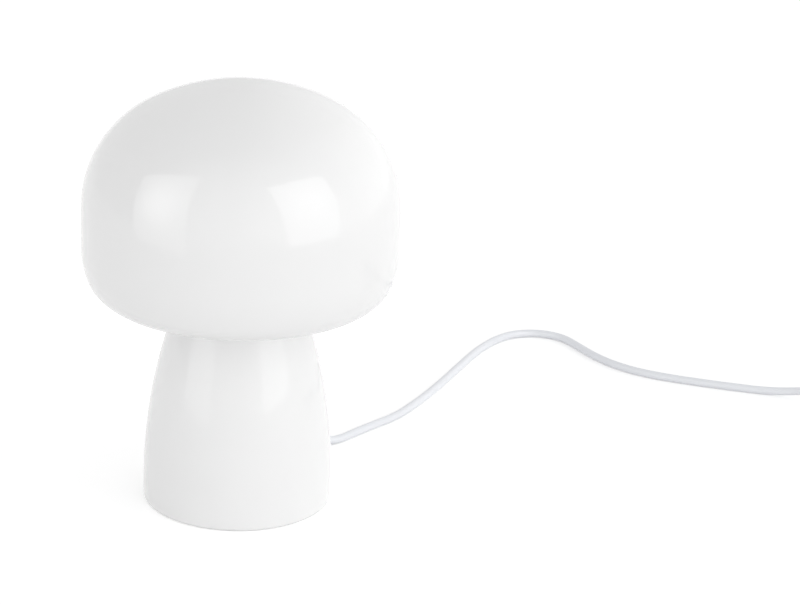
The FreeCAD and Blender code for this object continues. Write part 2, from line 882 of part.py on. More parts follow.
def leads():
    radius, join = float(size("lead_radius")), size("table_gap") * 2
    level, bend, far = size("lead_level"), float(size("lead_bend")), relief_end()
    top = float(tube_ends()[1])
    foot = Vector(0, 0, float(level) + bend)
    turn = Vector(0, bend, float(level))
    inside = [
        Part.makeLine(Vector(0, float(far), float(level)), turn),
        Part.Arc(turn, arc_middle(turn, Vector(0, -1, 0), foot), foot).toShape(),
        Part.makeLine(foot, Vector(0, 0, top)),
    ]
    solid, length = swept(inside, radius, Vector(0, -1, 0))
    print(f"inner_lead: length {length:.1f}")
    node(shaped("inner_lead", solid), "inner_lead")
    wires = []
    face = float(holder_levels()["core"] - size("terminal_head_height"))
    wire_radius = float(size("wire_radius"))
    for side in (-1, 1):
        spot = float(size("terminal_place")) * side
        spots = [
            Vector(1.4 * side, 0, top + float(join)),
            Vector(1.4 * side, 0, top + 1.5),
            Vector(spot, 0, face - 1.6),
            Vector(spot, 0, face),
        ]
        edges = [Part.makeLine(p, q) for p, q in zip(spots, spots[1:])]
        ring = Part.Wire(Part.Circle(spots[0], spots[1] - spots[0], wire_radius).toShape())
        wire = Part.Wire(edges).makePipeShell([ring], True, False, 2)
        wires.append(shaped(f"holder_wire_{side + 1}", wire))
    node(group("wires", wires), "holder_wires")

    # the lead on the table, from the strain relief to the switch
    rest = radius + float(size("table_gap"))
    boot_end = size("switch_length") / 2 + size("boot_length")
    entry = size("switch_x") - boot_end
    axis, lane = size("switch_axis"), size("switch_y")
    tube("cord_to_switch", [
        (0, far + join, level), (0, far + 10, level), (2.6, far + 19, 5.2), (7.2, far + 28.5, 3.0),
        (11.0, far + 40, rest), (14.0, 141, rest), (16.3, 162, rest), (15.4, 186, rest),
        (12.6, 212, rest), (7.6, 243, rest), (2.0, 273, rest), (-2.0, 297, rest), (-3.2, 314, rest),
        (-2.6, 329.5, rest), (1.6, 343, rest), (10.4, 353, rest), (22.8, 358.6, rest),
        (36.4, 358.2, rest), (50.5, 351.4, rest), (69, 342.2, rest), (90, 335.6, rest),
        (112, 334.3, rest), (135, 338.2, rest), (158, 344.4, rest), (179, 350.8, rest),
        (entry - 41, lane - 8.8, rest), (entry - 26, lane - 3.6, 4.2), (entry - 12, lane, axis),
        (entry - join, lane, axis),
    ], radius)

    # from the switch to the coil
    leave = size("switch_x") + boot_end
    low = coil_level()
    start = size("coil_x") - size("lead_radius") * 2
    tube("cord_from_switch", [
        (leave + join, lane, axis), (leave + 9, lane, axis), (start - 10, lane, low),
        (start - join, lane, low),
    ], radius)

    # from the coil to the plug
    high = low + float(size("coil_step"))
    back = size("plug_face") + size("plug_length") + size("plug_boot")
    middle = float(plug_level())
    tube("cord_to_plug", [
        (start - join, plug_lane(), high), (start - 8.5, plug_lane(), high),
        (back + 8.5, plug_lane(), middle), (back + join, plug_lane(), middle),
    ], radius)


def plug_lane():
    """The plug lies where the coil's last turn leaves."""
    return size("switch_y") - size("coil_radius") * 2


def plug_level():
    return size("plug_thickness") / 2 + size("table_gap")


def coil_level():
    """Height of the lower layer's wire: it lies on the tie that goes round it."""
    return float(size("lead_radius") + size("table_gap") + size("tie_thickness") + size("tie_gap"))


def coil_point(turn):
    """The lead's middle after so many turns: in on the lower layer, up in half a turn, out on the upper."""
    step, turns, outer = float(size("coil_step")), float(size("coil_turns")), float(size("coil_radius"))
    inner, low = outer - step * turns, coil_level()
    if turn <= turns:
        radius, height = outer - step * turn, low
    elif turn <= turns + 0.5:
        u = (turn - turns) / 0.5
        radius, height = inner - step / 2 * (u - u * u), low + step * (3 * u * u - 2 * u**3)
    else:
        radius, height = inner + step * (turn - turns - 0.5), low + step
    angle = math.pi / 2 - 2 * math.pi * turn
    centre_y = float(size("switch_y")) - outer
    return Vector(
        float(size("coil_x")) + radius * math.cos(angle), centre_y + radius * math.sin(angle), height
    )


def cord_coil():
    """The length that is put away, as one unbroken tube with its loops a diameter apart."""
    turns, diameter = float(size("coil_turns")), float(size("lead_radius")) * 2
    whole = 2 * turns + 0.5
    quarters = int(round(whole * 4))
    stations = [k / 4 for k in range(quarters + 1)]
    near = 1e-5
    ways = []
    for turn in stations:
        low, high = max(0.0, turn - near), min(whole, turn + near)
        ways.append((coil_point(high) - coil_point(low)).normalize())
    ways[0], ways[-1] = Vector(1, 0, 0), Vector(-1, 0, 0)
    spots = [coil_point(turn) for turn in stations]
    lead_in, lead_out = spots[0] - Vector(diameter, 0, 0), spots[-1] - Vector(diameter, 0, 0)
    edges = [Part.makeLine(lead_in, spots[0])]
    for k in range(quarters):
        edges += biarc(spots[k], ways[k], spots[k + 1], ways[k + 1])
    edges.append(Part.makeLine(spots[-1], lead_out))
    solid, length = swept(edges, diameter / 2, Vector(1, 0, 0))
    points = Part.Wire(edges).discretize(Distance=2.0)
    gap = min((p - q).Length for k, p in enumerate(points) for q in points[k + 12:]) - diameter
    ratio = solid.Volume / (math.pi * diameter**2 / 4 * length)
    print(f"cord_coil: length {length:.1f}, least gap {gap:.2f}, volume ratio {ratio:.5f}")
    node(shaped("cord_coil", solid), "cord_coil")


def coil_tie():
    """A flat band round the bundle of turns, on the side away from the lamp."""
    diameter, gap = float(size("lead_radius")) * 2, float(size("tie_gap"))
    thick, step = float(size("tie_thickness")), float(size("coil_step"))
    east = [coil_point(k + 0.25) for k in range(int(math.ceil(float(size("coil_turns")))))]
    inner = min(p.x for p in east) - diameter / 2 - float(size("tie_inner_gap"))
    outer = max(p.x for p in east) + diameter / 2 + gap
    low = coil_level() - diameter / 2 - gap
    high = coil_level() + step + diameter / 2 + gap
    width = float(size("tie_width"))
    middle = float(size("switch_y") - size("coil_radius"))

    def band(grow, reach):
        box = Part.makeBox(
            outer - inner + 2 * grow, reach, high - low + 2 * grow,
            Vector(inner - grow, middle - reach / 2, low - grow),
        )
        along = [e for e in box.Edges if abs(e.Vertexes[0].Y - e.Vertexes[1].Y) > 1]
        return box.makeFillet(1.2 + grow, along)

    node(shaped("coil_tie", band(thick, width).cut(band(0.0, width + 4))), "coil_tie")


# ---------------------------------------------------------------- cord switch

def switch_shells():
    x, y = size("switch_x"), size("switch_y")
    length, width, wall = size("switch_length"), size("switch_width"), size("switch_wall")
    axis, height, corner = size("switch_axis"), size("switch_height"), size("switch_corner")
    gap = size("table_gap")

    def half(name, low, high, hollow_low, hollow_high, rim, edge):
        outer = rounded(prism(f"{name}_outer", oblong(length, width), high - low), corner, upright)
        level = (high - low) * rim
        rounded(outer, edge, lambda e: all(abs(v.Z - level) < 1e-6 for v in e.Vertexes))
        place(outer, x=x, y=y, z=low)
        inner = rounded(
            prism(f"{name}_inner", oblong(length - wall * 2, width - wall * 2), hollow_high - hollow_low),
            corner - wall, upright,
        )
        place(inner, x=x, y=y, z=hollow_low)
        return cut(f"{name}_hollow", outer, [inner])

    bore = cylinder(
        "boot_bore", size("boot_neck") + size("thread_fit"), length + 10,
        x=x - length / 2 - 5, y=y, z=axis, rotation=ALONG_X,
    )
    lower = half("lower", gap, axis, wall, axis + 1, 0.0, size("switch_under_edge"))
    upper = half("upper", axis, height, axis - 1, height - wall, 1.0, size("switch_edge"))
    sides = [(1, 1), (-1, -1)]
    low_bosses, high_bosses, low_holes, high_holes, screws = [], [], [], [], []
    shank, head, boss = size("switch_screw"), size("switch_screw_head"), size("switch_boss")
    for k, (along, across) in enumerate(sides):
        spot = {"x": x + size("switch_screw_x") * along, "y": y + size("switch_screw_y") * across}
        low_bosses.append(cylinder(f"low_boss_{k}", boss, axis - wall + 0.5, z=wall - 0.5, **spot))
        high_bosses.append(cylinder(f"high_boss_{k}", boss, height - wall - axis + 0.5, z=axis, **spot))
        low_holes.append(cylinder(f"low_hole_{k}", shank + size("hole_clearance"), axis + 2, z=-1, **spot))
        low_holes.append(cylinder(f"low_sink_{k}", head + size("hole_clearance"), 3.4, z=-1, **spot))
        high_holes.append(cylinder(f"high_hole_{k}", shank + size("thread_fit"), 5, z=axis - 1, **spot))
        screw = turned(f"switch_screw_{k}", [
            (0, 0.5), (head, 0.5), (head, 2.4), (shank, 2.4), (shank, axis + 4), (0, axis + 4),
        ])
        screws.append(place(screw, **spot))
    window_length = (size("rocker_radius") + size("rocker_gap")) * 2
    window_width = size("rocker_width") + size("rocker_gap") * 2
    window = block("window", window_length, window_width, wall + 4, x=x, y=y, z=height - wall - 2)
    pivot, lug = size("rocker_pivot"), size("lug_thickness")
    lug_low = pivot - size("trunnion_radius") - 1.4
    lugs = [
        block(
            f"lug_{side + 1}", size("lug_width"), lug, height - wall - lug_low + 0.5,
            x=x, y=y + (window_width + lug) / 2 * side, z=lug_low,
        )
        for side in (-1, 1)
    ]
    pivot_bore = cylinder(
        "pivot_bore", size("trunnion_radius") + size("pivot_fit"), window_width + lug * 2 + 2,
        x=x, y=y - window_width / 2 - lug - 1, z=pivot, rotation=ALONG_Y,
    )
    lower_full = fuse("lower_full", [lower, *low_bosses])
    upper_full = fuse("upper_full", [upper, *high_bosses, *lugs])
    node(cut("lower_cut", lower_full, [bore, *low_holes]), "switch_lower_shell")
    node(cut("upper_cut", upper_full, [bore, window, pivot_bore, *high_holes]), "switch_upper_shell")
    node(group("switch_screw_pair", screws), "switch_screws")


def switch_rocker():
    """Drawn level about its pivot, then stored tilted to off."""
    radius, sink = size("rocker_radius"), size("rocker_sink")
    edge = math.radians(size("rocker_edge"))
    dip = math.tan(math.radians(size("rocker_tilt")))
    shoulder_x, shoulder_z = radius * math.cos(edge), radius * math.sin(edge)
    half = math.sqrt(float(radius) ** 2 - float(sink) ** 2)
    outline = [
        (-half, -sink),
        (half, -sink, radius),
        (shoulder_x, shoulder_z),
        (0, shoulder_z - shoulder_x * dip),
        (-shoulder_x, shoulder_z, radius),
    ]
    wedge = prism("wedge", outline, size("rocker_width"), "XZ_Plane", both=True)
    reach = size("rocker_width") + size("trunnion_length") * 2
    trunnion = cylinder("trunnion", size("trunnion_radius"), reach, y=-reach / 2, rotation=ALONG_Y)
    rocker = fuse("rocker_joined", [wedge, trunnion])
    tilt = FreeCAD.Rotation(Vector(0, 1, 0), float(size("rocker_tilt")))
    place(rocker, x=size("switch_x"), y=size("switch_y"), z=size("rocker_pivot"), rotation=tilt)
    node(rocker, "switch_rocker")


def switch_insides():
    x, y, wall, axis = size("switch_x"), size("switch_y"), size("switch_wall"), size("switch_axis")
    blocks = [
        block(f"terminal_block_{k}", 7, 8, 5, x=x + 17 * side, y=y, z=wall)
        for k, side in enumerate((-1, 1))
    ]
    node(group("contacts", blocks), "switch_contacts")
    inside = -(wall + 0.1)
    boots = []
    for k, (side, turn) in enumerate(((-1, MINUS_X), (1, ALONG_X))):
        boot = turned(f"boot_{k}", [
            (0, inside - 1.6),
            (size("boot_flange"), inside - 1.6),
            (size("boot_flange"), inside),
            (size("boot_neck"), inside),
            (size("boot_neck"), 0.1),
            (size("boot_radius"), 0.1),
            (size("boot_radius"), 2.5),
            (size("boot_tip"), size("boot_length")),
            (0, size("boot_length")),
        ])
        boots.append(place(boot, x=x + size("switch_length") / 2 * side, y=y, z=axis, rotation=turn))
    node(group("boots", boots), "switch_boots")


# ---------------------------------------------------------------- plug

def plug():
    face, y, thick = size("plug_face"), plug_lane(), size("plug_thickness")
    middle = plug_level()
    front, back, length = size("plug_width") / 2, size("plug_back_width") / 2, size("plug_length")
    outline = [
        (0, -front), (size("plug_straight"), -front), (length, -back),
        (length, back), (size("plug_straight"), front), (0, front),
    ]
    body = rounded(
        prism("plug_block", outline, thick), size("plug_edge"),
        lambda e: e.BoundBox.XMax > 0.5 and e.BoundBox.XMin < float(length) - 0.5,
    )
    place(body, x=face, y=y, z=size("table_gap"))
    boot = turned("plug_boot", [
        (0, -2), (size("boot_radius"), -2), (size("boot_tip"), size("plug_boot")), (0, size("plug_boot")),
    ])
    place(boot, x=face + length, y=y, z=middle, rotation=ALONG_X)
    joined = fuse("plug_joined", [body, boot])
    holes, pins, sleeves = [], [], []
    radius, core, root = size("pin_radius"), size("pin_core"), size("pin_root")
    reach, tip = size("sleeve_length"), size("pin_length")
    for k, side in enumerate((-1, 1)):
        lane = y + size("pin_spacing") / 2 * side
        holes.append(cylinder(
            f"pin_hole_{k}", core, root + 2, x=face - 2, y=lane, z=middle, rotation=ALONG_X,
        ))
        pin = turned(f"pin_{k}", [
            (0, -root), (core, -root), (core, reach), (radius, reach),
            (radius, tip - 1), (radius - 1, tip), (0, tip),
        ])
        pins.append(place(pin, x=face, y=lane, z=middle, rotation=MINUS_X))
        sleeve = turned(f"sleeve_{k}", [(core, 0), (radius, 0), (radius, reach), (core, reach)])
        sleeves.append(place(sleeve, x=face, y=lane, z=middle, rotation=MINUS_X))
    node(cut("plug_cut", joined, holes), "plug_body")
    node(group("pins", pins), "plug_pins")
    node(group("sleeves", sleeves), "pin_sleeves")


# ---------------------------------------------------------------- the lamp

for make in (
    glass_body, base_pan, foot_pad, centring_ring, spring_clips, threaded_tube, lead_clamp, strain_relief,
    holder, screw_shell, bulb, leads, cord_coil, coil_tie, switch_shells, switch_rocker, switch_insides, plug,
):
    make()
doc.recompute()

failed = [o.Label for o in doc.Objects if "Invalid" in o.State or "Error" in o.State]
for piece in NODES:
    if piece.Shape.isNull() or not piece.Shape.isValid() or not piece.Shape.Solids:
        failed.append(piece.Label)
if failed:
    raise RuntimeError(f"these failed: {failed}")
for piece in NODES:
    piece.Shape.exportStep(f"parts/{piece.Label}.step")
    print(piece.Label, len(piece.Shape.Solids), round(piece.Shape.Volume, 1))
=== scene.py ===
"""Mushroom table lamp: a blown opal glass over a steel base pan, with lampholder, bulb and mains lead."""

import math

import bmesh
import bpy
from mathutils import Matrix, Vector


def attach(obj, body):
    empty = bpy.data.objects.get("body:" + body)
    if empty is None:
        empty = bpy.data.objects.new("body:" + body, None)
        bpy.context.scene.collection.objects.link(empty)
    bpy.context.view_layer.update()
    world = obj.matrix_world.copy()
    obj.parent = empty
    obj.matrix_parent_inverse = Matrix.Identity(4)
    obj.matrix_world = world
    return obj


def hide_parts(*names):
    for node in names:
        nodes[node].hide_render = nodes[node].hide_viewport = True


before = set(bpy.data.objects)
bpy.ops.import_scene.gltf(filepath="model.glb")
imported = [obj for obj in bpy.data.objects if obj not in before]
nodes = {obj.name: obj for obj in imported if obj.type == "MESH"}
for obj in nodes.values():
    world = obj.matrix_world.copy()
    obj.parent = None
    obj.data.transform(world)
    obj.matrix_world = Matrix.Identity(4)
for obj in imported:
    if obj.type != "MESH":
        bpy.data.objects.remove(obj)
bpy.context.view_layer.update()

# ------------------------------------------------------------------ camera
# A long lens two metres away across the table, looking down by some twenty degrees. It stands on the side
# where the lead comes round the foot from behind and runs off to the right.

STATION = (1.14715, -1.63830, 0.89713)
STATION_TURN = 35.0
YAW, PITCH, ROLL = 2.8923, 20.8768, 1.8950
LENS, SENSOR = 152.54, 36.0

eye = bpy.data.objects.new("camera", bpy.data.cameras.new("camera"))
eye.data.lens = LENS
eye.data.sensor_width = SENSOR
eye.matrix_world = (
    Matrix.Translation(STATION)
    @ Matrix.Rotation(math.radians(STATION_TURN - YAW), 4, "Z")
    @ Matrix.Rotation(math.radians(90.0 - PITCH), 4, "X")
    @ Matrix.Rotation(math.radians(ROLL), 4, "Z")
)
bpy.context.scene.collection.objects.link(eye)
bpy.context.scene.camera = eye

# ------------------------------------------------------------------ base pan, foot pad and silicone band
# The pan is deep-drawn from sheet steel and powder-coated white. A foam ring is glued under its lip, and
# a silicone band round its shoulder keeps the glass in the middle.

GLOSS_SPREAD = 0.15
PATCH_DETAIL, GRAIN_DETAIL = 3.0, 2.0


def node(tree, kind, *inputs, **settings):
    """Adds a node. Each input is a socket's name or number with its value or the socket that feeds it."""
    made = tree.nodes.new(kind)
    for name, value in settings.items():
        setattr(made, name, value)
    for socket, source in inputs:
        if isinstance(source, bpy.types.NodeSocket):
            tree.links.new(source, made.inputs[socket])
        else:
            made.inputs[socket].default_value = source
    return made


def finish(
    name, colour, roughness, metal=0.0, shift=0.02, patch=30.0, grain=0.1, grain_size=900.0, depth=0.00005
):
    """A finish whose colour and gloss change a little over the piece, with a fine relief."""
    made = bpy.data.materials.new(name)
    made.use_nodes = True
    tree = made.node_tree
    shader = tree.nodes["Principled BSDF"]
    shader.inputs["Metallic"].default_value = metal
    where = node(tree, "ShaderNodeTexCoord").outputs["Object"]
    clouds = node(
        tree, "ShaderNodeTexNoise", ("Vector", where), ("Scale", patch), ("Detail", PATCH_DETAIL)
    ).outputs["Fac"]
    tint = node(
        tree, "ShaderNodeMix",
        ("Factor", clouds),
        ("A", (*[c * (1.0 - shift) for c in colour], 1.0)),
        ("B", (*[min(1.0, c * (1.0 + shift)) for c in colour], 1.0)),
        data_type="RGBA",
    )
    tree.links.new(tint.outputs["Result"], shader.inputs["Base Color"])
    gloss = node(
        tree, "ShaderNodeMapRange",
        ("Value", clouds),
        ("To Min", roughness * (1.0 - GLOSS_SPREAD)),
        ("To Max", min(1.0, roughness * (1.0 + GLOSS_SPREAD))),
    )
    tree.links.new(gloss.outputs["Result"], shader.inputs["Roughness"])
    relief = node(
        tree, "ShaderNodeTexNoise", ("Vector", where), ("Scale", grain_size), ("Detail", GRAIN_DETAIL)
    ).outputs["Fac"]
    bump = node(tree, "ShaderNodeBump", ("Strength", grain), ("Distance", depth), ("Height", relief))
    tree.links.new(bump.outputs["Normal"], shader.inputs["Normal"])
    return made


def dress(material, *names):
    """Gives CAD nodes their finish."""
    for name in names:
        mesh = nodes[name].data
        mesh.materials.clear()
        mesh.materials.append(material)


powder_coat = finish("powder_coat", (0.80, 0.80, 0.79), 0.38, shift=0.01, grain=0.35, grain_size=1400.0)
foam = finish(
    "foam", (0.66, 0.66, 0.65), 0.9, shift=0.05, patch=200.0, grain=0.8, grain_size=2200.0, depth=0.0002
)
silicone = finish("silicone", (0.74, 0.74, 0.73), 0.5, patch=60.0)
dress(powder_coat, "base_pan")
dress(foam, "foot_pad")
dress(silicone, "centring_ring")

# ------------------------------------------------------------------ spring clips, tube, nuts and screws
# Three leaf springs of blued strip are riveted to the pan. The conduit tube with its nuts and washer is
# turned steel, zinc plated, and holds the lampholder up in the glass.

spring_steel = finish(
    "spring_steel", (0.42, 0.42, 0.44), 0.32, metal=1.0, shift=0.08, patch=90.0, grain=0.2
)
zinc = finish("zinc", (0.60, 0.61, 0.63), 0.28, metal=1.0, shift=0.10, patch=160.0, grain=0.15)
dress(spring_steel, "spring_clips")
dress(zinc, "clip_rivets", "threaded_tube", "tube_nuts", "tube_washer", "clamp_screws")

# ------------------------------------------------------------------ lampholder
# A moulded thermoset cap and skirt in gloss white round a matt insert. The screw shell and the contacts
# are pressed brass.

holder_gloss = finish("holder_gloss", (0.78, 0.78, 0.76), 0.22, shift=0.01, patch=50.0, grain=0.08)
insert_matt = finish("insert_matt", (0.70, 0.70, 0.66), 0.55, patch=80.0, grain=0.25)
brass = finish("brass", (0.72, 0.52, 0.22), 0.25, metal=1.0, shift=0.10, patch=150.0)
dress(holder_gloss, "holder_cap", "holder_shell")
dress(insert_matt, "holder_core", "lead_clamp")
dress(brass, "terminal_screws", "screw_shell", "centre_contact", "switch_contacts")

# ------------------------------------------------------------------ bulb
# A small opal globe on a white moulded collar, with a nickel-plated screw cap, black glass insulator and
# a lacquered board for the light source inside.

GLOBE_MILKINESS = 0.3
GLOBE_SCATTER = (0.002, 0.002, 0.002)

nickel = finish("nickel", (0.66, 0.64, 0.60), 0.16, metal=1.0, shift=0.06, patch=200.0, grain=0.05)
black_glass = finish("black_glass", (0.012, 0.012, 0.014), 0.12, shift=0.1, patch=300.0, grain=0.02)
collar_white = finish("collar_white", (0.82, 0.82, 0.81), 0.35, shift=0.01, patch=60.0, grain=0.12)
globe_opal = finish("globe_opal", (0.86, 0.86, 0.85), 0.30, shift=0.01, patch=40.0, grain=0.05)
globe_shader = globe_opal.node_tree.nodes["Principled BSDF"]
globe_shader.inputs["Subsurface Weight"].default_value = GLOBE_MILKINESS
globe_shader.inputs["Subsurface Radius"].default_value = GLOBE_SCATTER
board_lacquer = finish("board_lacquer", (0.80, 0.80, 0.80), 0.4, patch=100.0)
dress(nickel, "bulb_tip", "bulb_screw_cap", "plug_pins")
dress(black_glass, "bulb_insulator")
dress(collar_white, "bulb_collar")
dress(globe_opal, "bulb_globe")
dress(board_lacquer, "bulb_board")

# ------------------------------------------------------------------ lead
# Round two-core lead in cool white PVC, 5.5 mm thick. From the strain relief it lies on the table in one
# loose bend to the switch, and the length that isn't needed is wound up and tied beside the plug.

LEAD_RADIUS = 0.00275
TABLE_GAP = 0.00002
CURVE_ORDER, CURVE_STEPS = 3, 8
RELIEF_END, EXIT_LEVEL = 0.084, 0.0075
SWITCH_X, LANE_Y, SWITCH_AXIS = 0.292, 0.366, 0.007
BOOT_REACH, BOOT_STRAIGHT = 0.053, 0.009
COIL_X, COIL_RADIUS, COIL_STEP, COIL_TURNS = 0.382, 0.0375, 0.00615, 2.5
COIL_LIFT, COIL_LEAD_IN, COIL_CLIMB = 0.00085, 0.010, 0.5
POINTS_A_TURN = 24
PLUG_BACK, PLUG_LEVEL, PLUG_STRAIGHT = 0.350, 0.00687, 0.0085

rest = LEAD_RADIUS + TABLE_GAP
entry, leave = SWITCH_X - BOOT_REACH, SWITCH_X + BOOT_REACH
plug_lane = LANE_Y - 2.0 * COIL_RADIUS
coil_start = COIL_X - 2.0 * LEAD_RADIUS
coil_level = rest + COIL_LIFT
coil_top = coil_level + COIL_STEP

pvc = finish("lead_pvc", (0.85, 0.865, 0.90), 0.36, shift=0.012, patch=45.0, grain=0.12, grain_size=1500.0)


def lay_lead(name, route):
    """A lead along a smooth line with the route's points as its control points."""
    curve = bpy.data.curves.new(name, "CURVE")
    curve.dimensions = "3D"
    spline = curve.splines.new("NURBS")
    spline.points.add(len(route) - 1)
    for point, spot in zip(spline.points, route):
        point.co = (*spot, 1.0)
    spline.order_u = CURVE_ORDER
    spline.use_endpoint_u = True
    spline.use_smooth = True
    curve.resolution_u = CURVE_STEPS
    curve.bevel_depth = LEAD_RADIUS
    curve.bevel_resolution = CURVE_STEPS
    curve.use_fill_caps = True
    curve.materials.append(pvc)
    laid = bpy.data.objects.new(name, curve)
    bpy.context.scene.collection.objects.link(laid)
    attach(laid, "base")
    return laid


to_switch = [
    (0.0, RELIEF_END, EXIT_LEVEL),
    (0.0, RELIEF_END + 0.007, 0.0066),
    (0.0044, RELIEF_END + 0.0165, 0.0030),
    (0.0080, RELIEF_END + 0.0255, rest),
    (0.0094, 0.121, rest),
    (0.0116, 0.137, rest),
    (0.0166, 0.163, rest),
    (0.0154, 0.186, rest),
    (0.0126, 0.212, rest),
    (0.0076, 0.243, rest),
    (0.0020, 0.273, rest),
    (-0.0020, 0.297, rest),
    (-0.0032, 0.314, rest),
    (-0.0026, 0.3295, rest),
    (0.0016, 0.343, rest),
    (0.0104, 0.353, rest),
    (0.0228, 0.3586, rest),
    (0.0364, 0.3582, rest),
    (0.0505, 0.3514, rest),
    (0.069, 0.3422, rest),
    (0.090, 0.3356, rest),
    (0.112, 0.3343, rest),
    (0.135, 0.3382, rest),
    (0.158, 0.3444, rest),
    (0.179, 0.3508, rest),
    (entry - 0.041, LANE_Y - 0.0088, rest),
    (entry - 0.026, LANE_Y - 0.0036, 0.0042),
    (entry - 0.012, LANE_Y, SWITCH_AXIS),
    (entry, LANE_Y, SWITCH_AXIS),
]
lead_to_switch = lay_lead("lead_to_switch", to_switch)
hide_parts("cord_to_switch")


def coil_point(turns):
    """The lead's middle after so many turns: in on the lower layer, up in half a turn, out on the upper."""
    inner = COIL_RADIUS - COIL_STEP * COIL_TURNS
    if turns <= COIL_TURNS:
        radius, height = COIL_RADIUS - COIL_STEP * turns, coil_level
    elif turns <= COIL_TURNS + COIL_CLIMB:
        u = (turns - COIL_TURNS) / COIL_CLIMB
        radius = inner - COIL_STEP / 2.0 * (u - u * u)
        height = coil_level + COIL_STEP * (3.0 * u * u - 2.0 * u**3)
    else:
        radius, height = inner + COIL_STEP * (turns - COIL_TURNS - COIL_CLIMB), coil_top
    radius /= math.cos(math.pi / POINTS_A_TURN)
    angle = math.pi / 2.0 - 2.0 * math.pi * turns
    return (COIL_X + radius * math.cos(angle), LANE_Y - COIL_RADIUS + radius * math.sin(angle), height)


coil_points = int((2.0 * COIL_TURNS + COIL_CLIMB) * POINTS_A_TURN) + 1
to_plug = [
    (leave, LANE_Y, SWITCH_AXIS),
    (leave + BOOT_STRAIGHT, LANE_Y, SWITCH_AXIS),
    (coil_start - COIL_LEAD_IN, LANE_Y, coil_level),
    (coil_start, LANE_Y, coil_level),
    *[coil_point(k / POINTS_A_TURN) for k in range(coil_points)],
    (coil_start, plug_lane, coil_top),
    (coil_start - PLUG_STRAIGHT, plug_lane, coil_top),
    (PLUG_BACK + PLUG_STRAIGHT, plug_lane, PLUG_LEVEL),
    (PLUG_BACK, plug_lane, PLUG_LEVEL),
]
lead_to_plug = lay_lead("lead_to_plug", to_plug)
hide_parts("cord_from_switch", "cord_coil", "cord_to_plug")

dress(pvc, "inner_lead", "holder_wires")

# ------------------------------------------------------------------ bend reliefs
# Soft PVC sleeves moulded on the lead where it enters the pan, the switch and the plug. They taper to the
# lead, and rings moulded round them let them bend.

RIBS, RIB_BEAD, RIB_SINK = 6, 0.0006, 0.0003
RIB_SIDES, BEAD_SIDES = 40, 10
RIB_MARGIN, SWITCH_MARGIN = 0.003, 0.004
RELIEF_THICK, RELIEF_THIN, RELIEF_RUN = 0.0046, 0.0037, 0.022
BOOT_THICK, BOOT_THIN, BOOT_RUN = 0.0045, 0.0035, 0.022

relief_pvc = finish("relief_pvc", (0.83, 0.84, 0.87), 0.45, shift=0.015, patch=60.0, grain=0.2)
dress(relief_pvc, "strain_relief", "switch_boots")


def maths(tree, operation, a, b=0.0):
    """One step of arithmetic on two values or sockets."""
    return node(tree, "ShaderNodeMath", (0, a), (1, b), operation=operation).outputs[0]


def node_group(name, inputs, output):
    """A Geometry Nodes group with its named inputs and one shape as its output."""
    tree = bpy.data.node_groups.new(name, "GeometryNodeTree")
    for label, kind in inputs.items():
        tree.interface.new_socket(label, in_out="INPUT", socket_type="NodeSocket" + kind)
    tree.interface.new_socket(output, in_out="OUTPUT", socket_type="NodeSocketGeometry")
    return tree, node(tree, "NodeGroupInput").outputs, node(tree, "NodeGroupOutput").inputs


def coated(tree, shape, material):
    """The end of a group: the shape made real and smooth, in its material."""
    whole = node(tree, "GeometryNodeRealizeInstances", ("Geometry", shape)).outputs[0]
    smooth = node(tree, "GeometryNodeSetShadeSmooth", ("Geometry", whole)).outputs[0]
    return node(tree, "GeometryNodeSetMaterial", ("Geometry", smooth), ("Material", material)).outputs[0]


def plain(piece):
    """Turns what the modifiers make into the piece's own mesh."""
    view = bpy.context.evaluated_depsgraph_get()
    mesh = bpy.data.meshes.new_from_object(piece.evaluated_get(view))
    piece.modifiers.clear()
    piece.data = mesh
    return piece


def worked(piece, tree, inputs):
    """Links the piece, runs a group on it with values for the group's named inputs, and keeps the mesh."""
    bpy.context.scene.collection.objects.link(piece)
    work = piece.modifiers.new(tree.name, "NODES")
    work.node_group = tree
    for item in tree.interface.items_tree:
        if item.name in inputs:
            work[item.identifier] = inputs[item.name]
    return plain(piece)


def rib_tree():
    """Moulded rings along Z, from a wide one to a narrow one."""
    inputs = {
        "Rings": "Int", "Spacing": "Float", "First radius": "Float", "Last radius": "Float",
        "Bead radius": "Float", "Finish": "Material",
    }
    tree, given, result = node_group("rings_along_a_taper", inputs, "Ribs")
    step = node(tree, "ShaderNodeCombineXYZ", ("Z", given["Spacing"])).outputs[0]
    line = node(tree, "GeometryNodeMeshLine", ("Count", given["Rings"]), ("Offset", step)).outputs[0]
    bead_size = maths(tree, "DIVIDE", given["Bead radius"], given["First radius"])
    ring, bead = (
        node(tree, "GeometryNodeCurvePrimitiveCircle", ("Resolution", sides), ("Radius", size)).outputs[0]
        for sides, size in ((RIB_SIDES, 1.0), (BEAD_SIDES, bead_size))
    )
    rib = node(tree, "GeometryNodeCurveToMesh", ("Curve", ring), ("Profile Curve", bead)).outputs[0]
    index = node(tree, "GeometryNodeInputIndex").outputs[0]
    along = maths(tree, "DIVIDE", index, maths(tree, "SUBTRACT", given["Rings"], 1.0))
    radius = node(
        tree, "ShaderNodeMapRange",
        ("Value", along), ("To Min", given["First radius"]), ("To Max", given["Last radius"]),
    ).outputs[0]
    rings = node(
        tree, "GeometryNodeInstanceOnPoints", ("Points", line), ("Instance", rib), ("Scale", radius)
    ).outputs[0]
    tree.links.new(coated(tree, rings, given["Finish"]), result["Ribs"])
    return tree


ring_tree = rib_tree()


